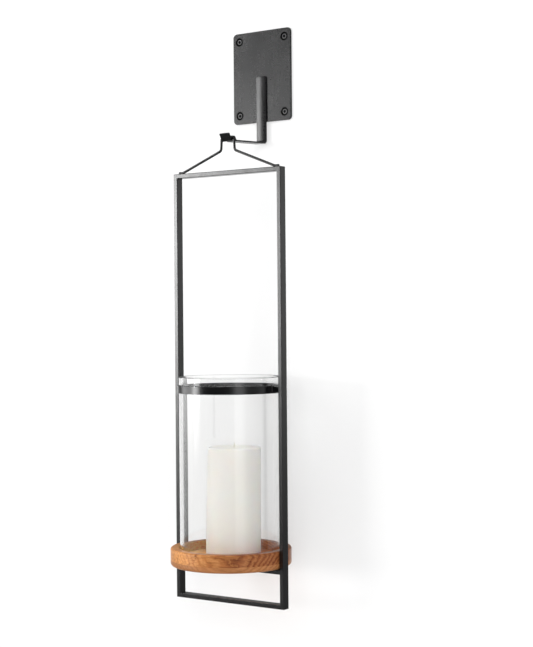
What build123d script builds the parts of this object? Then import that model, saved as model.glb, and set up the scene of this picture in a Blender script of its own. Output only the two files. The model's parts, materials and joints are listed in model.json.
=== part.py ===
from build123d import *
import os
from math import radians, tan

# A wall bracket holds a hanging lantern frame with a candle, a glass and a wooden tray.
# Millimetres. The origin is the centre of the wall plate's back face: +X right, +Y into the wall, +Z up.

# Wall plate
plate_width = 101.6
plate_height = 133.4
plate_thick = 3
plate_corner_radius = 6
plate_edge_round = 0.6
screw_spacing_x = 79.4
screw_spacing_z = 108.8

# Countersunk screws, with 90 degree heads
countersink_radius = 5.1
screw_hole_radius = 2.5
head_radius = 4.1
head_rim = 0.5
seat_gap = 0.02
shank_radius = 2.1
point_length = 5
wall_shank_length = 26
recess_length = 3.8
recess_width = 1.3
recess_depth = 1.5

# Hook strap of half-oval bar: flat on its back, crowned on its front
strap_width = 17
strap_thick = 3
strap_crown = 0.9
strap_top_z = -1
strap_bend_radius = 4
strap_edge_round = 0.5
arm_wall_z = -97.4
arm_end_z = -101
hump_foot_offset = 9.2
hump_corner_z = -91.2
hump_radius = 1.7
hump_foot_radius = 3
tip_lean = 33
tip_end_z = -92.3

# Where the lantern hangs: the axis of the bail's top, which is also the swing axis
hang_y = -88
hang_z = -98.1
cradle_gap = 0.06

# Bail of round rod
rod_radius = 1.8
bail_top_half = 10.7
bail_neck_half = 11.8
bail_neck_z = -115.7
bail_foot_half = 80
bail_end_half = 87
bail_top_bend = 2.2
bail_neck_bend = 5
bail_foot_bend = 6

# Frame of flat bar, mitred at its corners
frame_width = 186.4
frame_top_z = -144.3
frame_height = 610
bar_thick = 6.35
bar_depth = 12.7
bar_edge_round = 0.7

# Tray and the crossbar under it
tray_radius = 85.4
tray_height = 25.4
tray_bottom_z = -700
tray_recess_depth = 12
tray_recess_radius = 72.9
tray_top_round = 3
tray_bottom_round = 4.5
tray_recess_round = 1.2
tray_screw_offset = 40
tray_shank_length = 6
tray_point_length = 2.5
pilot_gap = 0.02

# Glass, the ring round it and the ring's lugs
glass_radius = 72
glass_wall = 3
glass_height = 252
glass_lip_round = 1.2
ring_gap = 0.5
ring_wall = 1.6
ring_height = 11
ring_centre_z = -452
ring_edge_round = 0.3
lug_thick = 5
lug_ring_height = 10
lug_bar_height = 7

# Candle and wick; the candle stands a little off the tray's centre
candle_offset_x = 5.5
candle_bottom_radius = 38.6
candle_top_radius = 37.4
candle_height = 152.4
candle_top_round = 1.8
candle_bottom_round = 1
wick_radius = 1
wick_proud = 6
wick_gap = 0.05

# Worked out from the values above
bar_inner_half = frame_width / 2 - bar_thick
frame_bottom_z = frame_top_z - frame_height
tray_floor_z = tray_bottom_z + tray_height - tray_recess_depth
strap_mid_y = -plate_thick - strap_thick / 2
ring_inner_radius = glass_radius + ring_gap
ring_outer_radius = ring_inner_radius + ring_wall


def facing_front(shape, x, y, z):
    """Turn a shape's own +Z to the front of the object and put it at a point."""
    return Pos(x, y, z) * Rot(90, 0, 0) * shape


def screw_centres():
    """The four corners of the wall plate's screw rectangle."""
    return [(i * screw_spacing_x / 2, j * screw_spacing_z / 2) for i in (-1, 1) for j in (-1, 1)]


def countersunk_hole(thick):
    """A hole through a plate that fills 0 to thick along its own +Z, countersunk at the top."""
    cone_height = countersink_radius - screw_hole_radius
    cone_z = thick - cone_height / 2
    cone = Pos(0, 0, cone_z) * Cone(screw_hole_radius, countersink_radius, cone_height)
    bore = Pos(0, 0, thick / 2) * Cylinder(screw_hole_radius, thick)
    return bore + cone


def screw(thick, shank_length, point):
    """A countersunk screw seated in countersunk_hole(thick), its shank going down from 0."""
    seat_z = thick - countersink_radius + head_radius + seat_gap
    cone_end_z = seat_z - head_radius + shank_radius
    top_z = seat_z + head_rim
    outline = Polyline(
        (0, top_z),
        (head_radius, top_z),
        (head_radius, seat_z),
        (shank_radius, cone_end_z),
        (shank_radius, -shank_length),
        (0, -shank_length - point),
        close=True,
    )
    body = revolve(Plane.XZ * make_face(outline), Axis.Z)
    slot = Box(recess_length, recess_width, 2 * recess_depth)
    recess = slot + Rot(0, 0, 90) * slot
    return body - Pos(0, 0, top_z) * recess


def wall_plate():
    plate = Pos(0, -plate_thick / 2, 0) * Box(plate_width, plate_thick, plate_height)
    plate = fillet(plate.edges().filter_by(Axis.Y), plate_corner_radius)
    plate = fillet(plate.faces().sort_by(Axis.Y)[0].edges(), plate_edge_round)
    for x, z in screw_centres():
        plate -= facing_front(countersunk_hole(plate_thick), x, 0, z)
    return plate


def wall_screws():
    one = screw(plate_thick, wall_shank_length, point_length)
    return Compound([facing_front(one, x, 0, z).solid() for x, z in screw_centres()])


def strap_section():
    """The strap's section, its flat back at -Y and its crown at +Y."""
    half_width = strap_width / 2
    back = -strap_thick / 2
    shoulder = strap_thick / 2 - strap_crown
    sides = Polyline((-half_width, shoulder), (-half_width, back), (half_width, back), (half_width, shoulder))
    crown = ThreePointArc((-half_width, shoulder), (0, strap_thick / 2), (half_width, shoulder))
    section = make_face([*sides.edges(), crown])
    return fillet(section.vertices(), strap_edge_round)


def strap_path():
    """The strap's middle from the top of the plate down, out along the arm and up to the hook's tip."""
    cradle_radius = rod_radius + cradle_gap + strap_thick / 2
    hump_y = hang_y + cradle_radius
    lean = radians(tip_lean)
    cradle_corner_z = hang_z - cradle_radius / tan(lean / 2)
    corners = [
        (0, strap_mid_y, strap_top_z),
        (0, strap_mid_y, arm_wall_z),
        (0, hang_y + hump_foot_offset, arm_end_z),
        (0, hump_y, hump_corner_z),
        (0, hump_y, cradle_corner_z),
        (0, hump_y - (tip_end_z - cradle_corner_z) * tan(lean), tip_end_z),
    ]
    return FilletPolyline(*corners, radius=[strap_bend_radius, hump_foot_radius, hump_radius, cradle_radius])


def hook_strap():
    path = strap_path()
    start = Plane(origin=path @ 0, x_dir=(1, 0, 0), z_dir=(0, 0, -1))
    return sweep(start * strap_section(), path)


def bail():
    half = [
        (bail_end_half, frame_top_z + rod_radius),
        (bail_foot_half, frame_top_z + rod_radius),
        (bail_neck_half, bail_neck_z),
        (bail_top_half, hang_z),
    ]
    corners = [(x, hang_y, z) for x, z in half] + [(-x, hang_y, z) for x, z in reversed(half)]
    bends = [bail_foot_bend, bail_neck_bend, bail_top_bend]
    path = FilletPolyline(*corners, radius=bends + bends[::-1])
    section = Plane(origin=corners[0], z_dir=(-1, 0, 0)) * Circle(rod_radius)
    return sweep(section, path)


def flat_bar(length):
    """A flat bar along X with rounded long edges, thick along Z and deep along Y."""
    bar = Box(length, bar_depth, bar_thick)
    return fillet(bar.edges().filter_by(Axis.X), bar_edge_round)


def mitred_bar(length):
    """A flat bar along X, its ends cut at 45 degrees so that its lower side is the short one."""
    outline = Polyline(
        (-length / 2, bar_thick / 2),
        (length / 2, bar_thick / 2),
        (length / 2 - bar_thick, -bar_thick / 2),
        (-length / 2 + bar_thick, -bar_thick / 2),
        close=True,
    )
    keep = extrude(Plane.XZ * make_face(outline), bar_depth, both=True)
    return flat_bar(length) & keep


def frame_bars():
    """The four bars of the frame, by node name."""
    middle_z = (frame_top_z + frame_bottom_z) / 2
    half_width = (frame_width - bar_thick) / 2
    half_height = (frame_height - bar_thick) / 2
    across = mitred_bar(frame_width)
    upright = mitred_bar(frame_height)
    centre = Pos(0, hang_y, middle_z)
    return {
        "frame_top_bar": centre * Pos(0, 0, half_height) * across,
        "frame_bottom_bar": centre * Pos(0, 0, -half_height) * Rot(0, 180, 0) * across,
        "frame_left_bar": centre * Pos(-half_width, 0, 0) * Rot(0, -90, 0) * upright,
        "frame_right_bar": centre * Pos(half_width, 0, 0) * Rot(0, 90, 0) * upright,
    }


def tray_screw_places():
    """The tops of the tray screws' clearance holes, on the crossbar, seen from below."""
    return [Pos(x, hang_y, tray_bottom_z) * Rot(180, 0, 0) for x in (-tray_screw_offset, tray_screw_offset)]


def tray_crossbar():
    bar = Pos(0, hang_y, tray_bottom_z - bar_thick / 2) * flat_bar(2 * bar_inner_half)
    for place in tray_screw_places():
        bar -= place * countersunk_hole(bar_thick)
    return bar


def tray_screws():
    one = screw(bar_thick, tray_shank_length, tray_point_length)
    return Compound([(place * one).solid() for place in tray_screw_places()])


def tray():
    blank = Pos(0, hang_y, tray_bottom_z + tray_height / 2) * Cylinder(tray_radius, tray_height)
    rims = blank.edges().filter_by(GeomType.CIRCLE).sort_by(Axis.Z)
    blank = fillet(rims[-1], tray_top_round)
    blank = fillet(blank.edges().filter_by(GeomType.CIRCLE).sort_by(Axis.Z)[0], tray_bottom_round)
    recess = Pos(0, hang_y, tray_floor_z + tray_recess_depth / 2)
    blank -= recess * Cylinder(tray_recess_radius, tray_recess_depth)
    top_edges = blank.faces().sort_by(Axis.Z)[-1].edges()
    blank = fillet(top_edges.sort_by(SortBy.RADIUS)[0], tray_recess_round)
    pilot_length = tray_shank_length + tray_point_length
    pilot = Pos(0, 0, -pilot_length / 2) * Cylinder(shank_radius + pilot_gap, pilot_length)
    for place in tray_screw_places():
        blank -= place * pilot
    return blank


def tube(outer_radius, inner_radius, height, edge_round):
    """An upright open tube standing on its own origin, its end edges rounded."""
    body = Cylinder(outer_radius, height) - Cylinder(inner_radius, height)
    body = fillet(body.edges().filter_by(GeomType.CIRCLE), edge_round)
    return Pos(0, 0, height / 2) * body


def hurricane_glass():
    glass = tube(glass_radius, glass_radius - glass_wall, glass_height, glass_lip_round)
    return Pos(0, hang_y, tray_floor_z) * glass


def glass_ring():
    ring = tube(ring_outer_radius, ring_inner_radius, ring_height, ring_edge_round)
    return Pos(0, hang_y, ring_centre_z - ring_height / 2) * ring


def ring_lug(side):
    """The lug from the ring to the side bar at side -1 or 1, taller at the ring."""
    outline = Polyline(
        (ring_inner_radius, lug_ring_height / 2),
        (bar_inner_half, lug_bar_height / 2),
        (bar_inner_half, -lug_bar_height / 2),
        (ring_inner_radius, -lug_ring_height / 2),
        close=True,
    )
    lug = extrude(Plane.XZ * make_face(outline), lug_thick / 2, both=True)
    lug -= Cylinder(ring_outer_radius, 2 * ring_height)
    turn = 0 if side > 0 else 180
    return Pos(0, hang_y, ring_centre_z) * Rot(0, 0, turn) * lug


def candle():
    body = Cone(candle_bottom_radius, candle_top_radius, candle_height)
    rims = body.edges().filter_by(GeomType.CIRCLE).sort_by(Axis.Z)
    body = fillet(rims[-1], candle_top_round)
    body = fillet(body.edges().filter_by(GeomType.CIRCLE).sort_by(Axis.Z)[0], candle_bottom_round)
    body -= Cylinder(wick_radius + wick_gap, candle_height)
    return Pos(candle_offset_x, hang_y, tray_floor_z + candle_height / 2) * body


def wick():
    length = candle_height + wick_proud
    return Pos(candle_offset_x, hang_y, tray_floor_z + length / 2) * Cylinder(wick_radius, length)


os.makedirs("parts", exist_ok=True)
nodes = {
    "wall_plate": wall_plate(),
    "wall_screws": wall_screws(),
    "hook_strap": hook_strap(),
    "bail": bail(),
    **frame_bars(),
    "tray_crossbar": tray_crossbar(),
    "tray_screws": tray_screws(),
    "tray": tray(),
    "hurricane_glass": hurricane_glass(),
    "glass_ring": glass_ring(),
    "ring_lug_left": ring_lug(-1),
    "ring_lug_right": ring_lug(1),
    "candle": candle(),
    "wick": wick(),
}
for name, shape in nodes.items():
    export_step(shape, f"parts/{name}.step")
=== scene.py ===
import json
from math import cos, pi, radians, sin, sqrt

import bmesh
import bpy
from mathutils import Matrix, Vector


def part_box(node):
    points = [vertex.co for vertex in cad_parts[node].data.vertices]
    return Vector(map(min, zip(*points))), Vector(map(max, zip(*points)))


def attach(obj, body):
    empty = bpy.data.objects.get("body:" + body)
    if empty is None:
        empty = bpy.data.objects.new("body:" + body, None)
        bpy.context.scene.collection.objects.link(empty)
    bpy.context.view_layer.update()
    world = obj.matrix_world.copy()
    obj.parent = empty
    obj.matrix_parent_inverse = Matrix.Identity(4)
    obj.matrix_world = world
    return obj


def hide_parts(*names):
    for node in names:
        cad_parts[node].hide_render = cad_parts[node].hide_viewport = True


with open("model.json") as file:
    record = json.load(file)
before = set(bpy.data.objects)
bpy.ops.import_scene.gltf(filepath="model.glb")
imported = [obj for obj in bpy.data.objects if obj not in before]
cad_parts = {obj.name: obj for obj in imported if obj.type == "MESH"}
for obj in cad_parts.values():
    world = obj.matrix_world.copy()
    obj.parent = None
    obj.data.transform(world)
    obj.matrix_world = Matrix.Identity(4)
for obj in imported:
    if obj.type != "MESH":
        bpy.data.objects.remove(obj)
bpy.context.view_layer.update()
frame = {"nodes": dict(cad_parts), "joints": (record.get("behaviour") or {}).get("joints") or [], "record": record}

nodes = frame["nodes"]
mounts = {mount["name"]: mount for mount in frame["record"]["mounts"]}
joints = {joint["name"]: joint for joint in frame["joints"]}
MM = 0.001

# Places read from the frame
hang = Vector(joints["lantern_swing"]["pos_m"])
plate_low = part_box("wall_plate")[0]
tray_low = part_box("tray")[0]
glass_low, glass_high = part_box("hurricane_glass")
ring_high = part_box("glass_ring")[1]
candle_low, candle_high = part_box("candle")
wick_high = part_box("wick")[1]
top_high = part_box("frame_top_bar")[1]
right_low, right_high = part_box("frame_right_bar")
cross_low, cross_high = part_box("tray_crossbar")
strap_low, strap_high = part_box("hook_strap")
bail_low, bail_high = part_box("bail")

# Sizes in metres, and the count of points round the glass and the candle
SEGMENTS = 224
CANDLE_LEAN = 1.4 * MM
PAINTED_LIGHT_RADIUS = 73.2 * MM
LOWER_BOARD_HEIGHT = 8.6 * MM
COUNTERSINK_RADIUS = 5.1 * MM
TRAY_SCREW_X = 40 * MM
WALL_Y = 0.5 * MM
FLOOR_Z = -1.15
LIGHT_DISTANCE = 2.6


# ---------------------------------------------------------------- node helpers

def new_material(name):
    """A material with an empty node tree, and its Principled shader wired to the output."""
    material = bpy.data.materials.new(name)
    material.use_nodes = True
    tree = material.node_tree
    tree.nodes.clear()
    output = tree.nodes.new("ShaderNodeOutputMaterial")
    shader = tree.nodes.new("ShaderNodeBsdfPrincipled")
    tree.links.new(shader.outputs["BSDF"], output.inputs["Surface"])
    return material, tree, shader


def add(tree, kind, inputs=None, **settings):
    """A node with its settings and inputs. An input is a value or another node's output socket."""
    node = tree.nodes.new(kind)
    for key, value in settings.items():
        setattr(node, key, value)
    for key, value in (inputs or {}).items():
        if isinstance(value, bpy.types.NodeSocket):
            tree.links.new(value, node.inputs[key])
        else:
            node.inputs[key].default_value = value
    return node


def maths(tree, operation, first, second=0.0):
    """The value of an operation on one or two numbers."""
    return add(tree, "ShaderNodeMath", {0: first, 1: second}, operation=operation).outputs["Value"]


def vectors(tree, operation, first, second=(0, 0, 0), result="Vector"):
    """The vector, or with result="Value" the number, that an operation on one or two vectors gives."""
    return add(tree, "ShaderNodeVectorMath", {0: first, 1: second}, operation=operation).outputs[result]


def scaled(tree, vector, factor):
    inputs = {0: vector, "Scale": factor}
    return add(tree, "ShaderNodeVectorMath", inputs, operation="SCALE").outputs["Vector"]


def object_place(tree):
    """Object coordinates, which are the shared frame's, in metres."""
    return add(tree, "ShaderNodeTexCoord").outputs["Object"]


def ramp(tree, factor, stops):
    """A colour ramp. Stops are (place, colour), where a colour is a grey number or an (r, g, b)."""
    node = add(tree, "ShaderNodeValToRGB", {"Fac": factor})
    elements = node.color_ramp.elements
    while len(elements) < len(stops):
        elements.new(1.0)
    for element, (place, colour) in zip(elements, stops):
        element.position = place
        element.color = (*colour, 1) if isinstance(colour, tuple) else (colour, colour, colour, 1)
    return node.outputs["Color"]


def stretched(tree, scale, turn=(0, 0, 0)):
    """Object coordinates, turned and then scaled per axis."""
    turned = add(tree, "ShaderNodeMapping", {"Vector": object_place(tree), "Rotation": turn})
    inputs = {"Vector": turned.outputs["Vector"], "Scale": scale}
    return add(tree, "ShaderNodeMapping", inputs).outputs["Vector"]


def noise(tree, vector, scale=1.0, detail=3.0, rough=0.5, distortion=0.0):
    inputs = {"Vector": vector, "Scale": scale, "Detail": detail, "Roughness": rough}
    inputs["Distortion"] = distortion
    return add(tree, "ShaderNodeTexNoise", inputs).outputs["Fac"]


def mix(tree, factor, first, second, blend_type="MIX"):
    node = add(tree, "ShaderNodeMix", data_type="RGBA", blend_type=blend_type)
    for index, value in ((0, factor), (6, first), (7, second)):
        if isinstance(value, bpy.types.NodeSocket):
            tree.links.new(value, node.inputs[index])
        elif index == 0:
            node.inputs[index].default_value = value
        else:
            node.inputs[index].default_value = (*value, 1)
    return node.outputs[2]


def mix_values(tree, factor, first, second):
    return add(tree, "ShaderNodeMix", {0: factor, 2: first, 3: second}, data_type="FLOAT").outputs[0]


def fade(tree, value, start, end):
    """0 where a value is at start or beyond, rising evenly to 1 at end."""
    inputs = {"Value": value, "From Min": start, "From Max": end}
    return add(tree, "ShaderNodeMapRange", inputs).outputs["Result"]


def multiplied(tree, colour, factors):
    """A colour multiplied channel by channel."""
    return mix(tree, 1.0, colour, factors, "MULTIPLY")


def spread(tree, value, low, high):
    """A 0 to 1 value spread to low to high."""
    return add(tree, "ShaderNodeMapRange", {"Value": value, "To Min": low, "To Max": high}).outputs["Result"]


def bump(tree, height, distance, strength=1.0, normal=None):
    inputs = {"Height": height, "Distance": distance, "Strength": strength}
    if normal is not None:
        inputs["Normal"] = normal
    return add(tree, "ShaderNodeBump", inputs).outputs["Normal"]


# ---------------------------------------------------------------- materials

def iron_material(name, light, dark, roughness, grain=0.05 * MM, ior=1.5, uneven=0.08):
    """Black coated steel: a fine coat texture of height grain, faint mill mottling and uneven gloss."""
    material, tree, shader = new_material(name)
    place = stretched(tree, (1, 1, 1))
    mottle = noise(tree, place, 26, 4, 0.55, 0.6)
    speck = noise(tree, place, 420, 3, 0.6)
    smear = noise(tree, stretched(tree, (60, 60, 9)), 1, 3, 0.5, 0.8)
    tone = mix(tree, ramp(tree, mottle, [(0.3, 0.0), (0.7, 1.0)]), dark, light)
    tone = mix(tree, ramp(tree, speck, [(0.55, 0.0), (0.8, 0.5)]), tone, light)
    tree.links.new(tone, shader.inputs["Base Color"])
    gloss = spread(tree, smear, roughness - uneven, roughness + uneven)
    gloss = maths(tree, "ADD", spread(tree, speck, -uneven, uneven), gloss)
    tree.links.new(gloss, shader.inputs["Roughness"])
    coat = bump(tree, speck, grain)
    tree.links.new(bump(tree, mottle, 0.12 * MM, 1.0, coat), shader.inputs["Normal"])
    shader.inputs["IOR"].default_value = ior
    return material


def near_screw_axes(tree, radius, soft):
    """1 within a radius of the wall screws' axes, 0 outside."""
    dims = mounts["wall_screws"]["dims"]
    centre = (dims["spacing_x_mm"] / 2 * MM, 0, dims["spacing_y_mm"] / 2 * MM)
    apart = vectors(tree, "SUBTRACT", vectors(tree, "ABSOLUTE", object_place(tree)), centre)
    reach = vectors(tree, "LENGTH", vectors(tree, "MULTIPLY", apart, (1, 0, 1)), result="Value")
    return fade(tree, reach, radius + soft, radius)


def paint_shade_near_screws(material, radius, soft, outside=None):
    """Painted shade: make a material black and dull up to a radius round the wall screws, and from the radius
    outside on, as the shade in a deep gap.
    """
    tree = material.node_tree
    shader = tree.nodes["Principled BSDF"]
    gap_shade = near_screw_axes(tree, radius, soft)
    if outside:
        beyond = maths(tree, "SUBTRACT", 1.0, near_screw_axes(tree, outside, soft))
        gap_shade = maths(tree, "MAXIMUM", gap_shade, beyond)
    tone = shader.inputs["Base Color"].links[0].from_socket
    tree.links.new(mix(tree, gap_shade, tone, (0.002, 0.002, 0.002)), shader.inputs["Base Color"])
    gloss = shader.inputs["Roughness"].links[0].from_socket
    tree.links.new(mix_values(tree, gap_shade, gloss, 1.0), shader.inputs["Roughness"])
    # painted shade: a metal this dark mirrors nothing, as the shade in a deep gap
    tree.links.new(gap_shade, shader.inputs["Metallic"])


GRAIN_TURN = (radians(24), radians(8), radians(-32))


def lower_board(tree, place):
    """1 in the tray's lower third, a second board below a slightly wavy seam, and 0 above it."""
    depth = add(tree, "ShaderNodeSeparateXYZ", {0: place}).outputs["Z"]
    seam = spread(tree, noise(tree, stretched(tree, (12, 12, 12)), 1, 1), -0.6 * MM, 0.6 * MM)
    return maths(tree, "LESS_THAN", maths(tree, "ADD", depth, seam), tray_low.z + LOWER_BOARD_HEIGHT)


def growth_rings(tree, shifted):
    """A board's growth rings as a value that rises across each ring and drops at its end."""
    board = add(tree, "ShaderNodeMapping", {"Vector": shifted, "Rotation": GRAIN_TURN}).outputs["Vector"]
    wander = noise(tree, stretched(tree, (7, 16, 16), GRAIN_TURN), 1, 3, 0.5)
    board = vectors(tree, "ADD", board, scaled(tree, (0.0, 0.03, 0.03), wander))
    inputs = {"Vector": board, "Scale": 72, "Distortion": 3.0, "Detail": 5}
    inputs.update({"Detail Scale": 1.8, "Detail Roughness": 0.65})
    wave = add(tree, "ShaderNodeTexWave", inputs, wave_type="RINGS", rings_direction="X", wave_profile="SAW")
    return wave.outputs["Fac"]


def knot_flecks(tree, place):
    """Dark flecks in a small spot near the middle of the tray's front."""
    spot = (hang.x + 1 * MM, tray_low.y, tray_low.z + 22 * MM)
    reach = vectors(tree, "DISTANCE", place, spot, result="Value")
    knot = fade(tree, reach, 5 * MM, 1 * MM)
    flecks = ramp(tree, noise(tree, stretched(tree, (420, 420, 300)), 1, 2, 0.6), [(0.5, 0.0), (0.58, 0.85)])
    return maths(tree, "MULTIPLY", knot, flecks)


def painted_light_near_axis(tree, place, base):
    """The wood's colour with painted light: paler within PAINTED_LIGHT_RADIUS of the tray's axis, in the recess
    under the glass and on the underside.
    """
    flat = vectors(tree, "MULTIPLY", vectors(tree, "SUBTRACT", place, (hang.x, hang.y, 0)), (1, 1, 0))
    off_axis = vectors(tree, "LENGTH", flat, result="Value")
    recess = fade(tree, off_axis, PAINTED_LIGHT_RADIUS + 1 * MM, PAINTED_LIGHT_RADIUS)
    # painted light: the wood's colour brightened, up to a pale limit
    lit_wood = mix(tree, 1.0, multiplied(tree, base, (2.7, 2.5, 2.3)), (0.92, 0.60, 0.34), "DARKEN")
    return mix(tree, recess, base, lit_wood)


def wood_material():
    """Oiled acacia: two boards with growth rings, fibres, pores and a small knot."""
    material, tree, shader = new_material("acacia")
    place = object_place(tree)
    heart = (hang.x + 0.02, hang.y + 0.11, tray_low.z - 0.05)
    lower = lower_board(tree, place)
    shifted = vectors(tree, "SUBTRACT", place, heart)
    shifted = vectors(tree, "ADD", shifted, scaled(tree, (0.11, 0.035, 0.06), lower))
    fibre = noise(tree, stretched(tree, (14, 520, 520), GRAIN_TURN), 1, 4, 0.6)
    pores = noise(tree, stretched(tree, (90, 1500, 1500), GRAIN_TURN), 1, 2, 0.5)
    patch = noise(tree, stretched(tree, (9, 22, 22), GRAIN_TURN), 1, 3, 0.55)
    streak = noise(tree, stretched(tree, (7, 300, 300), GRAIN_TURN), 1, 3, 0.6)
    base = ramp(tree, growth_rings(tree, shifted), [(0.0, (0.60, 0.27, 0.08)), (0.45, (0.80, 0.41, 0.14)),
                                                    (0.78, (0.50, 0.18, 0.05)), (1.0, (0.24, 0.07, 0.02))])
    # from pale sapwood with faint rings on the left to heartwood with strong rings on the right; the darkening to
    # the right is partly the heartwood's own colour and partly painted shade, where less light falls
    heartwood_and_shade = fade(tree, vectors(tree, "DOT_PRODUCT", shifted, (0.82, 0.57, -0.25), "Value"), -0.155, -0.05)
    base = mix(tree, spread(tree, heartwood_and_shade, 0.35, 1.0), (0.66, 0.30, 0.095), base)
    # painted shade, on top of the heartwood's own colour: the wood multiplied darker towards the right
    shade = [(0.0, (1, 1, 1)), (0.55, (0.48, 0.40, 0.42)), (1.0, (0.40, 0.30, 0.32))]
    base = multiplied(tree, base, ramp(tree, heartwood_and_shade, shade))
    brown = (0.5, 0.4, 0.36)
    streaks = ramp(tree, streak, [(0.36, 0.75), (0.5, 0.0)])
    base = mix(tree, streaks, base, multiplied(tree, base, brown))
    base = mix(tree, ramp(tree, patch, [(0.35, 0.0), (0.68, 0.5)]), base, (0.30, 0.11, 0.04))
    fibres = ramp(tree, fibre, [(0.3, 0.5), (0.6, 0.0)])
    base = mix(tree, fibres, base, multiplied(tree, base, brown))
    base = mix(tree, ramp(tree, pores, [(0.66, 0.0), (0.74, 0.75)]), base, (0.12, 0.045, 0.02))
    base = mix(tree, spread(tree, lower, 0.0, 0.22), base, (0.68, 0.34, 0.13))
    base = mix(tree, knot_flecks(tree, place), base, (0.08, 0.03, 0.014))
    tree.links.new(painted_light_near_axis(tree, place, base), shader.inputs["Base Color"])
    tree.links.new(spread(tree, fibre, 0.30, 0.42), shader.inputs["Roughness"])
    grain = bump(tree, fibre, 0.06 * MM)
    tree.links.new(bump(tree, pores, -0.05 * MM, 1.0, grain), shader.inputs["Normal"])
    shader.inputs["Specular IOR Level"].default_value = 0.18
    shader.inputs["Coat Weight"].default_value = 0.06
    shader.inputs["Coat Roughness"].default_value = 0.2
    return material


def glass_material():
    """Clear soda glass with a hardly seen unevenness in tint and surface."""
    material, tree, shader = new_material("clear_glass")
    waves = noise(tree, stretched(tree, (9, 9, 22)), 1, 1, 0.4)
    tint = mix(tree, waves, (0.995, 0.997, 0.994), (1.0, 1.0, 0.999))
    tree.links.new(tint, shader.inputs["Base Color"])
    tree.links.new(bump(tree, waves, 0.05 * MM, 0.4), shader.inputs["Normal"])
    shader.inputs["Specular IOR Level"].default_value = 0.3
    shader.inputs["Transmission Weight"].default_value = 1.0
    shader.inputs["Roughness"].default_value = 0.0
    shader.inputs["IOR"].default_value = 1.45
    return material


def wax_material():
    """Ivory wax: soft light inside it, a faint cloud and a fine moulded skin."""
    material, tree, shader = new_material("ivory_wax")
    cloud = noise(tree, stretched(tree, (16, 16, 7)), 1, 4, 0.55)
    skin = noise(tree, stretched(tree, (160, 160, 60)), 1, 3, 0.5)
    tone = mix(tree, cloud, (0.93, 0.89, 0.83), (0.97, 0.94, 0.895))
    tree.links.new(tone, shader.inputs["Base Color"])
    tree.links.new(spread(tree, skin, 0.38, 0.52), shader.inputs["Roughness"])
    tree.links.new(bump(tree, skin, 0.08 * MM), shader.inputs["Normal"])
    shader.inputs["Subsurface Weight"].default_value = 0.5
    shader.inputs["Subsurface Radius"].default_value = (1.0, 0.75, 0.5)
    shader.inputs["Subsurface Scale"].default_value = 6 * MM
    return material


def cotton_material():
    """Waxed cotton yarn with fine twisted threads."""
    material, tree, shader = new_material("waxed_cotton")
    thread = noise(tree, stretched(tree, (2600, 2600, 900), (0.5, 0.5, 0)), 1, 2, 0.5)
    tone = mix(tree, thread, (0.62, 0.57, 0.46), (0.86, 0.83, 0.75))
    tree.links.new(tone, shader.inputs["Base Color"])
    tree.links.new(bump(tree, thread, 0.08 * MM), shader.inputs["Normal"])
    shader.inputs["Roughness"].default_value = 0.8
    shader.inputs["Sheen Weight"].default_value = 0.15
    return material


# ---------------------------------------------------------------- mesh helpers

def put_in_scene(name, mesh, material, smooth=True):
    piece = bpy.data.objects.new(name, mesh)
    bpy.context.scene.collection.objects.link(piece)
    mesh.materials.append(material)
    for polygon in mesh.polygons:
        polygon.use_smooth = smooth
    return piece


def loft(bm, rings, closed=False):
    """Join rings of equally many points, and the last ring to the first if closed, or else fill both ends."""
    rows = [[bm.verts.new(point) for point in ring] for ring in rings]
    pairs = list(zip(rows, rows[1:]))
    if closed:
        pairs.append((rows[-1], rows[0]))
    count = len(rows[0])
    for low, high in pairs:
        for i in range(count):
            j = (i + 1) % count
            bm.faces.new((low[i], low[j], high[j], high[i]))
    if not closed:
        bm.faces.new(rows[0][::-1])
        bm.faces.new(rows[-1])


def circle(radius, z, count, centre=(0, 0)):
    turns = [2 * pi * i / count for i in range(count)]
    return [(centre[0] + radius * cos(turn), centre[1] + radius * sin(turn), z) for turn in turns]


def finished_mesh(name, bm):
    bmesh.ops.recalc_face_normals(bm, faces=bm.faces)
    mesh = bpy.data.meshes.new(name)
    bm.to_mesh(mesh)
    bm.free()
    return mesh


def arc(centre, radius, start, end, count):
    """Points (r, z) along an arc, angles in degrees from +r towards +z."""
    steps = [radians(start + (end - start) * i / count) for i in range(count + 1)]
    return [(centre[0] + radius * cos(t), centre[1] + radius * sin(t)) for t in steps]


# ---------------------------------------------------------------- pieces

def make_glass(material):
    """The glass tube with rounded, fire-polished lips and a very slightly uneven wall."""
    wall = 3 * MM
    outer = (glass_high.x - glass_low.x) / 2
    lip = wall / 2
    low, high = glass_low.z, glass_high.z
    rows = 40
    rise = [low + lip + (high - low - wall) * i / rows for i in range(rows + 1)]
    # a row close to each lip keeps the smooth shading of the long walls straight
    rise[1:1] = [rise[0] + 0.15 * MM]
    rise[-1:-1] = [rise[-1] - 0.15 * MM]
    profile = [(outer, z) for z in rise]
    profile += arc((outer - lip, high - lip), lip, 0, 180, 8)[1:-1]
    profile += [(outer - wall, z) for z in reversed(rise)]
    profile += arc((outer - lip, low + lip), lip, 180, 360, 8)[1:-1]
    bm = bmesh.new()
    rings = []
    for radius, z in profile:
        ring = []
        for i in range(SEGMENTS):
            angle = 2 * pi * i / SEGMENTS
            uneven = 0.03 * MM * sin(3 * angle + 17 * z) * sin(26 * z)
            reach = min(radius + uneven, outer) if radius > outer - lip else radius + uneven / 2
            ring.append((hang.x + reach * cos(angle), hang.y + reach * sin(angle), z))
        rings.append(ring)
    loft(bm, rings, closed=True)
    piece = put_in_scene("glass_cylinder", finished_mesh("glass_cylinder", bm), material)
    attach(piece, "glass")
    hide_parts("hurricane_glass")


def candle_axis():
    return (candle_low.x + candle_high.x) / 2, (candle_low.y + candle_high.y) / 2


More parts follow.
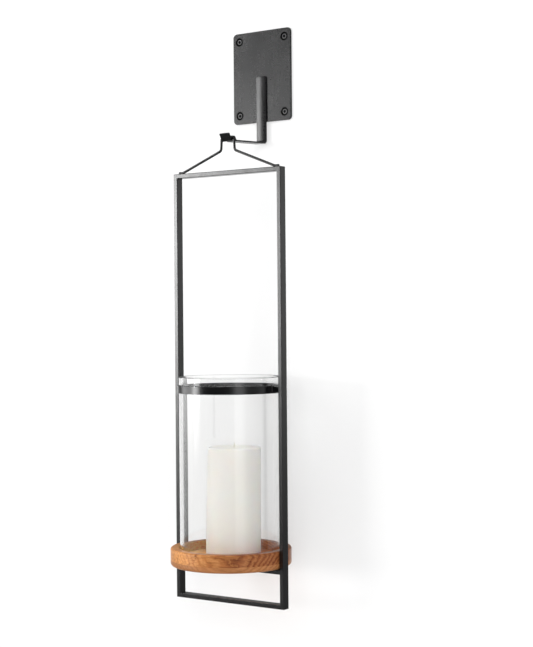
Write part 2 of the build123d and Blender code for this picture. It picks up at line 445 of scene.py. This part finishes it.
def make_candle(material):
    """The pillar candle: slightly tapered and leaning, with a soft rim and a dimple at the wick."""
    x, y = candle_axis()
    # a hair above the tray, so that the two never cut each other as the lantern swings
    low, high = candle_low.z + 0.1 * MM, candle_high.z
    bottom_radius = (candle_high.x - candle_low.x) / 2
    top_radius = bottom_radius - 1.2 * MM
    height = high - low
    rows = 48
    profile = [(0.5 * MM, low), (bottom_radius * 0.5, low), (bottom_radius - 2 * MM, low)]
    profile += arc((bottom_radius - 1.0 * MM, low + 1.0 * MM), 1.0 * MM, -80, 0, 5)
    for i in range(1, rows):
        share = i / rows
        profile.append((bottom_radius + (top_radius - bottom_radius) * share, low + height * share))
    rim = 2.0 * MM
    profile += arc((top_radius - rim, high - rim), rim, 0, 90, 8)
    profile += [(top_radius * k, high - 0.35 * MM * (1 - k)) for k in (0.85, 0.65, 0.45, 0.28, 0.16, 0.1)]
    profile += [(2.2 * MM, high - 0.6 * MM), (1.5 * MM, high - 1.2 * MM), (1.0 * MM, high - 1.5 * MM)]
    bm = bmesh.new()
    rings = []
    for radius, z in profile:
        lean = CANDLE_LEAN * (2 * (z - low) / height - 1)
        ring = []
        for i in range(SEGMENTS):
            angle = 2 * pi * i / SEGMENTS
            swell = 0.18 * MM * sin(2 * angle + 9 * z) + 0.1 * MM * sin(5 * angle - 31 * z)
            reach = radius + (swell if radius > top_radius - rim else 0)
            ring.append((x + lean + reach * cos(angle), y + reach * sin(angle), z))
        rings.append(ring)
    loft(bm, rings)
    piece = put_in_scene("pillar_candle", finished_mesh("pillar_candle", bm), material)
    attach(piece, "candle")
    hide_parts("candle")


def make_wick(material):
    """A flat braid of three strands from the candle's foot to its proud end."""
    x, y = candle_axis()
    low, high = candle_low.z + 1.5 * MM, wick_high.z
    pitch = 4.2 * MM
    height = candle_high.z - candle_low.z
    bm = bmesh.new()
    for strand in range(3):
        phase = 2 * pi * strand / 3
        steps = int((high - low) / pitch * 14)
        rings = []
        for i in range(steps + 1):
            z = low + (high - low) * i / steps
            turn = 2 * pi * (z - low) / pitch + phase
            lean = CANDLE_LEAN * (2 * (z - candle_low.z) / height - 1)
            centre = (x + lean + 0.42 * MM * sin(turn), y + 0.28 * MM * sin(2 * turn))
            radius = 0.42 * MM * (0.45 if i == steps else 1.0)
            rings.append(circle(radius, z, 8, centre))
        loft(bm, rings)
    piece = put_in_scene("braided_wick", finished_mesh("braided_wick", bm), material)
    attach(piece, "candle")
    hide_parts("wick")


def screw_mesh(name, grip, shank, point):
    """A countersunk screw and how high its head's top is. The head is in the grip, the thread below z = 0.

    The head's cone lies on a right-angled countersink, and a low rim stands on the cone."""
    head, rim, major, core = 4.1 * MM, 0.5 * MM, 2.1 * MM, 1.55 * MM
    seat = grip - COUNTERSINK_RADIUS + head + 0.02 * MM
    top = seat + rim
    pitch = 1.8 * MM
    count = 48
    outline = [(head * 0.6, top), (head - 0.62 * MM, top), (head - 0.5 * MM, top - 0.1 * MM), (head, seat),
               (major, seat - head + major), (major, 0.0)]
    bm = bmesh.new()
    rings = [circle(radius, z, count) for radius, z in outline]
    steps = int((shank + point) / (0.14 * MM))
    for i in range(1, steps + 1):
        z = -(shank + point) * i / steps
        taper = 1.0 if -z < shank else max(0.04, 1 - (-z - shank) / point)
        ring = []
        for k in range(count):
            turn = (z / pitch - k / count) % 1.0
            ridge = max(0.0, 1 - abs(turn - 0.5) / 0.22)
            radius = (core + (major - core) * ridge) * taper
            angle = 2 * pi * k / count
            ring.append((radius * cos(angle), radius * sin(angle), z))
        rings.append(ring)
    loft(bm, rings)
    return finished_mesh(name, bm), top


def cross_cutter(top):
    """A tapering cross-shaped plug that cuts the driver recess."""
    bm = bmesh.new()
    long, short, depth = 1.9 * MM, 0.68 * MM, 1.7 * MM
    for turn in (0, pi / 2):
        corners = []
        for z, scale in ((top - depth, 0.4), (top + MM, 1.25)):
            for sx, sy in ((-1, -1), (1, -1), (1, 1), (-1, 1)):
                px, py = sx * long * scale, sy * short * (0.7 + 0.3 * scale)
                corners.append((px * cos(turn) - py * sin(turn), px * sin(turn) + py * cos(turn), z))
        loft(bm, [corners[:4], corners[4:]])
    return finished_mesh("cross_cutter", bm)


def make_screw(name, grip, shank, point, place, body, material):
    """One screw with its recess cut, at a place given as a matrix."""
    mesh, top = screw_mesh(name, grip, shank, point)
    piece = put_in_scene(name, mesh, material, smooth=False)
    cutter = bpy.data.objects.new("cutter", cross_cutter(top))
    bpy.context.scene.collection.objects.link(cutter)
    cut = piece.modifiers.new("recess", "BOOLEAN")
    cut.object = cutter
    cut.operation = "DIFFERENCE"
    cut.solver = "EXACT"
    cut.use_self = True
    bpy.context.view_layer.update()
    shaped = bpy.data.meshes.new_from_object(piece.evaluated_get(bpy.context.evaluated_depsgraph_get()))
    piece.modifiers.clear()
    piece.data = shaped
    bpy.data.objects.remove(cutter)
    for polygon in shaped.polygons:
        polygon.use_smooth = polygon.center.z < 0
    shaped.transform(place)
    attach(piece, body)
    return piece


def make_screws(material):
    """Four wall screws and the two that hold the tray, each turned its own way."""
    dims = mounts["wall_screws"]["dims"]
    pieces = []
    for i, (side, level) in enumerate(((-1, 1), (1, 1), (-1, -1), (1, -1))):
        spot = Vector((side * dims["spacing_x_mm"] / 2 * MM, 0, level * dims["spacing_y_mm"] / 2 * MM))
        turn = Matrix.Rotation(radians(90), 4, "X") @ Matrix.Rotation(radians(17 + 31 * i), 4, "Z")
        place = Matrix.Translation(spot) @ turn
        piece = make_screw(f"wall_screw_{i + 1}", -plate_low.y, 26 * MM, 5 * MM, place, "bracket", material)
        pieces.append(piece)
    for piece in pieces:
        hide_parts("wall_screws")
    grip = cross_high.z - cross_low.z
    for i, side in enumerate((-1, 1)):
        spot = Vector((side * TRAY_SCREW_X, hang.y, tray_low.z))
        turn = Matrix.Rotation(pi, 4, "X") @ Matrix.Rotation(radians(25 + 40 * i), 4, "Z")
        place = Matrix.Translation(spot) @ turn
        piece = make_screw(f"tray_screw_{i + 1}", grip, 6 * MM, 2.5 * MM, place, "lantern", material)
        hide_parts("tray_screws")


def make_bead(name, start, end, radius, body, material, ripple=1.0):
    """A weld bead: a rippled, tapering tube from start to end, partly sunk in the corner that it fills."""
    start, end = Vector(start), Vector(end)
    along = (end - start).normalized()
    side = along.orthogonal().normalized()
    up = along.cross(side)
    length = (end - start).length
    steps = max(16, int(length / (0.22 * MM)))
    count = 16
    rings = []
    for i in range(steps + 1):
        share = i / steps
        ends = sqrt(max(0.0, 1 - (2 * share - 1) ** 8))
        wave = abs(sin(pi * share * length / (1.5 * MM)))
        reach = radius * max(0.12, ends) * (0.9 + 0.1 * ripple * wave)
        middle = start + along * (length * share)
        rings.append([middle + reach * (side * cos(2 * pi * k / count) + up * sin(2 * pi * k / count))
                      for k in range(count)])
    bm = bmesh.new()
    loft(bm, rings)
    piece = put_in_scene(name, finished_mesh(name, bm), material)
    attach(piece, body)


def make_welds(material):
    """The beads that join bail, crossbar, lugs and strap."""
    depth = (right_high.y - right_low.y) / 2 - 1.2 * MM
    rod = (bail_high.y - bail_low.y) / 2
    foot_end = bail_high.x
    for side, word in ((-1, "left"), (1, "right")):
        for face, way in ((-1, "front"), (1, "back")):
            y = hang.y + face * rod * 0.85
            z = top_high.z + 0.35 * MM
            make_bead(f"bail_weld_{word}_{way}", (side * (foot_end - 8.5 * MM), y, z),
                      (side * (foot_end + 0.3 * MM), y, z), 0.95 * MM, "lantern", material)
        x = side * (right_low.x - 0.1 * MM)
        for z, level in ((cross_low.z, "under"), (cross_high.z, "over")):
            make_bead(f"crossbar_weld_{word}_{level}", (x, hang.y - depth, z), (x, hang.y + depth, z),
                      1.5 * MM, "lantern", material, 0.6)
        lug_low, lug_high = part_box(f"ring_lug_{word}")
        middle = (lug_low.z + lug_high.z) / 2
        ring_x = side * (ring_high.x + 0.1 * MM)
        for y, way in ((lug_low.y, "front"), (lug_high.y, "back")):
            make_bead(f"lug_weld_{word}_{way}", (x, y, middle - 3.2 * MM), (x, y, middle + 3.2 * MM),
                      1.1 * MM, "lantern", material)
            make_bead(f"ring_weld_{word}_{way}", (ring_x, y, middle - 4.4 * MM),
                      (ring_x, y, middle + 4.4 * MM), 1.1 * MM, "lantern", material)
    half = (strap_high.x - strap_low.x) / 2 - 1.5 * MM
    for level, y, z in (("top", plate_low.y - 0.6 * MM, strap_high.z + 0.1 * MM),
                        ("under", plate_low.y + 1.2 * MM, plate_low.z - 0.2 * MM)):
        make_bead(f"strap_weld_{level}", (-half, y, z), (half, y, z), 1.5 * MM, "bracket", material)


# ---------------------------------------------------------------- stage, light and camera

def make_wall(own_light, albedo):
    """A pale wall behind the plate and a pale floor well below, each seen from the object's side only.

    Part of their brightness is their own light, so that shadows stay as faint as on a high-key backdrop."""
    half = 4.0
    foot = [(-half, WALL_Y, FLOOR_Z), (half, WALL_Y, FLOOR_Z)]
    wall = foot + [(half, WALL_Y, half), (-half, WALL_Y, half)]
    floor = [(-half, -half, FLOOR_Z), (half, -half, FLOOR_Z)] + foot[::-1]
    for name, corners in (("wall", wall), ("floor", floor)):
        mesh = bpy.data.meshes.new(name)
        mesh.from_pydata(corners, [], [(0, 1, 2, 3)])
        material, tree, shader = new_material(name + "_paint")
        shader.inputs["Base Color"].default_value = (albedo, albedo, albedo, 1)
        shader.inputs["Emission Color"].default_value = (1, 1, 1, 1)
        shader.inputs["Emission Strength"].default_value = own_light
        shader.inputs["Roughness"].default_value = 0.9
        shader.inputs["Specular IOR Level"].default_value = 0.1
        clear = add(tree, "ShaderNodeBsdfTransparent")
        back = add(tree, "ShaderNodeNewGeometry").outputs["Backfacing"]
        sides = {0: back, 1: shader.outputs["BSDF"], 2: clear.outputs["BSDF"]}
        both = add(tree, "ShaderNodeMixShader", sides).outputs["Shader"]
        tree.links.new(both, tree.nodes["Material Output"].inputs["Surface"])
        stage = put_in_scene(name, mesh, material)
        stage.visible_glossy = False


def make_light(name, azimuth, elevation, width, height, power):
    """A large soft light that looks at the lantern's middle and isn't seen in reflections."""
    target = Vector((0, hang.y, -0.42))
    direction = Vector((sin(radians(azimuth)) * cos(radians(elevation)),
                        -cos(radians(azimuth)) * cos(radians(elevation)), sin(radians(elevation))))
    data = bpy.data.lights.new(name, "AREA")
    data.shape = "RECTANGLE"
    data.size, data.size_y = width, height
    data.energy = power
    light = bpy.data.objects.new(name, data)
    bpy.context.scene.collection.objects.link(light)
    light.location = target + direction * LIGHT_DISTANCE
    light.rotation_euler = direction.to_track_quat("Z", "Y").to_euler()
    light.visible_glossy = False


# The surround. Seen directly it is the grey BACKDROP. The object is lit by, and mirrors, greys by elevation
# (0 straight down, 0.5 level, 1 straight up), with flags that darken and soft boxes (PANELS) that light it.
# A flag or box has azimuths, elevations and a strength. The angles are in degrees: where it starts, is full,
# begins to fade and ends. Azimuth 0 is the front, positive to the right.
BACKDROP = 0.93
SKY = [(0.0, 0.16), (0.42, 0.14), (0.5, 0.26), (0.62, 0.34), (1.0, 0.4)]
FLAGS = [
    ((-36, -16, 28, 42), (-22, -12, 16, 28), 0.85),
]
PANELS = [
    ((-100, -82, -50, -38), (-7, 0, 5, 11), 4.2),
    ((-56, -49, -41, -31), (-6, 3, 6, 8.5), 20.5),
    ((-100, -80, -62, -28), (2, 9, 22, 36), 1.2),
    ((42, 50, 60, 76), (-16, -6, 1, 6), 1.6),
    ((-180, -178, -125, -105), (-40, -28, -3, 2), 0.8),
    ((96, 112, 178, 180), (-9, 3, 6, 8), 0.55),
]


def soft_box(tree, azimuth, elevation, azimuths, elevations, strength):
    """The strength that a flag or soft box has in a direction."""
    level = strength
    for angle, (start, full, fading, end) in ((azimuth, azimuths), (elevation, elevations)):
        for low, high in ((start, full), (end, fading)):
            edge = {"Value": angle, "From Min": low, "From Max": high}
            rise = add(tree, "ShaderNodeMapRange", edge, interpolation_type="SMOOTHSTEP").outputs["Result"]
            level = maths(tree, "MULTIPLY", rise, level)
    return level


def make_world():
    """A studio surround of SKY, FLAGS and PANELS."""
    world = bpy.data.worlds.new("studio")
    world.use_nodes = True
    tree = world.node_tree
    tree.nodes.clear()
    direction = add(tree, "ShaderNodeTexCoord").outputs["Generated"]
    way = add(tree, "ShaderNodeSeparateXYZ", {0: direction}).outputs
    front = maths(tree, "MULTIPLY", way["Y"], -1.0)
    azimuth = maths(tree, "DEGREES", maths(tree, "ARCTAN2", way["X"], front))
    elevation = maths(tree, "DEGREES", maths(tree, "ARCSINE", way["Z"]))
    total = ramp(tree, fade(tree, elevation, -90.0, 90.0), SKY)
    for azimuths, elevations, strength in FLAGS:
        cover = soft_box(tree, azimuth, elevation, azimuths, elevations, strength)
        total = maths(tree, "MULTIPLY", total, maths(tree, "SUBTRACT", 1.0, cover))
    for azimuths, elevations, strength in PANELS:
        total = maths(tree, "ADD", total, soft_box(tree, azimuth, elevation, azimuths, elevations, strength))
    # BACKDROP for rays from the camera, direct or through the glass, and the surround for all others
    ray = add(tree, "ShaderNodeLightPath").outputs
    direct = maths(tree, "LESS_THAN", ray["Diffuse Depth"], 0.5)
    through = maths(tree, "MULTIPLY", ray["Is Transmission Ray"], direct)
    seen = maths(tree, "MAXIMUM", ray["Is Camera Ray"], through)
    grey = mix_values(tree, seen, total, BACKDROP)
    shade = add(tree, "ShaderNodeBackground", {"Color": grey, "Strength": 1.0})
    output = add(tree, "ShaderNodeOutputWorld")
    tree.links.new(shade.outputs["Background"], output.inputs["Surface"])
    bpy.context.scene.world = world


def make_camera():
    """Level, from the right of the object, and a hair rolled."""
    azimuth, roll = radians(34.8), radians(-0.466)
    distance = 2.04
    aim = Vector((0.064, hang.y, -0.3606))
    data = bpy.data.cameras.new("camera")
    data.lens = 81.8
    data.sensor_width = 36
    camera = bpy.data.objects.new("camera", data)
    bpy.context.scene.collection.objects.link(camera)
    toward = Vector((sin(azimuth), -cos(azimuth), 0))
    camera.location = aim + toward * distance
    level = Matrix.Rotation(azimuth, 4, "Z") @ Matrix.Rotation(radians(90), 4, "X")
    camera.rotation_euler = (level @ Matrix.Rotation(roll, 4, "Z")).to_euler()
    bpy.context.scene.camera = camera


# ---------------------------------------------------------------- build

iron = iron_material("black_iron", (0.006, 0.006, 0.0063), (0.003, 0.003, 0.0032), roughness=0.21,
                     grain=0.012 * MM, ior=1.6, uneven=0.04)
strap_iron = iron_material("brushed_iron", (0.012, 0.012, 0.0125), (0.003, 0.003, 0.0032), roughness=0.29,
                           grain=0.04 * MM)
plate_iron = iron_material("sanded_iron", (0.014, 0.014, 0.0145), (0.002, 0.002, 0.0022), roughness=0.26,
                           grain=0.045 * MM, ior=1.42, uneven=0.06)
# painted shade in each countersink round the wall screws' heads
paint_shade_near_screws(plate_iron, radius=COUNTERSINK_RADIUS + 1 * MM, soft=0.15 * MM)
weld_iron = iron_material("weld_iron", (0.020, 0.019, 0.019), (0.008, 0.008, 0.008), roughness=0.36)
screw_iron = iron_material("black_screw", (0.10, 0.10, 0.101), (0.07, 0.07, 0.071), roughness=0.3)
# painted shade in the screw heads' driver recess and in the gap round their rims
paint_shade_near_screws(screw_iron, radius=2.2 * MM, soft=0.2 * MM, outside=3.4 * MM)
finish_of = {"iron": iron, "screw": screw_iron, "wood": wood_material()}
own_finish = {"wall_plate": plate_iron, "hook_strap": strap_iron}
for part in frame["record"]["subparts"]:
    node, slot = part["node"], part["material_slot"]
    if slot in finish_of:
        nodes[node].data.materials.clear()
        nodes[node].data.materials.append(own_finish.get(node, finish_of[slot]))

make_glass(glass_material())
make_candle(wax_material())
make_wick(cotton_material())
make_screws(screw_iron)
make_welds(weld_iron)

make_wall(own_light=0.46, albedo=0.425)
make_world()
make_light("front_fill", azimuth=42, elevation=20, width=2.6, height=1.8, power=52)
make_light("soft_key", azimuth=-48, elevation=28, width=1.2, height=1.2, power=18)
make_light("top_fill", azimuth=0, elevation=70, width=1.8, height=1.8, power=12)
make_camera()
bpy.context.scene.view_settings.view_transform = "Standard"
bpy.context.scene.view_settings.look = "None"
